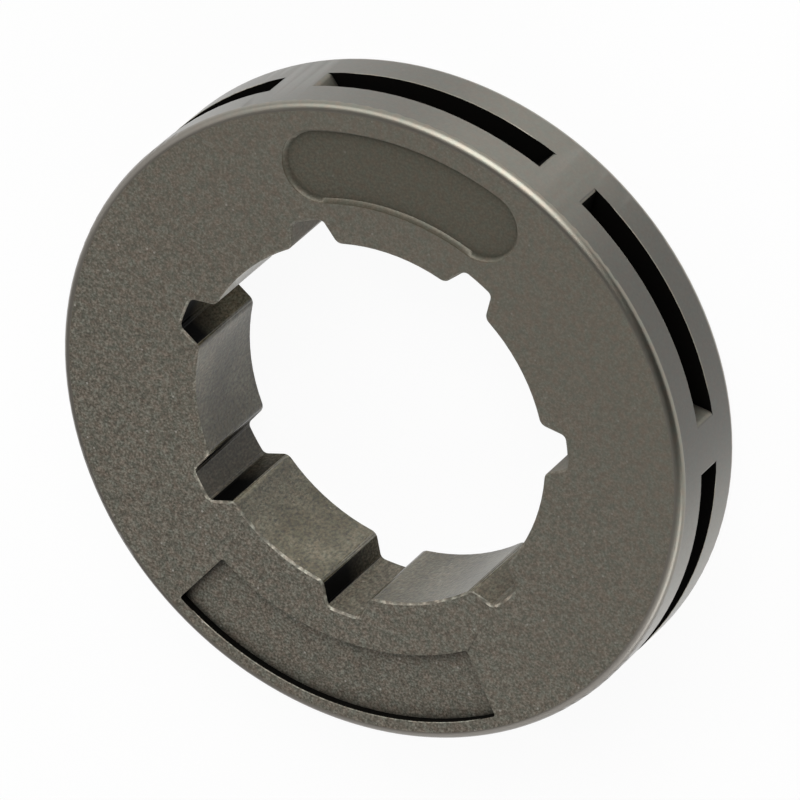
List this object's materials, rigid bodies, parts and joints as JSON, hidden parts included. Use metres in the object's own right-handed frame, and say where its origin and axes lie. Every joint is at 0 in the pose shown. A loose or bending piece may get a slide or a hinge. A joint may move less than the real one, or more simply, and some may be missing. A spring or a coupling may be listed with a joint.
{
  "type": "chainsaw rim sprocket",
  "caption": "Flat steel ring with a splined bore and blind drive pockets in its rim, which floats on a clutch drum hub and drives a saw chain.",
  "frame": {"origin": "on the bore axis, at the plain back face that the ring lies on", "axes": "+Z along the bore axis, out of the face with the two sunken panels; +Y towards the middle of the rounded panel"},
  "size_m": [0.0364, 0.0364, 0.0063],
  "materials": {
    "sintered_steel": "bare sintered steel, warm grey: fine-grained faces, a smoother satin rim and lightly worn edges"
  },
  "bodies": {
    "root": {"rim_sprocket": "sintered_steel"}
  },
  "joints": []
}
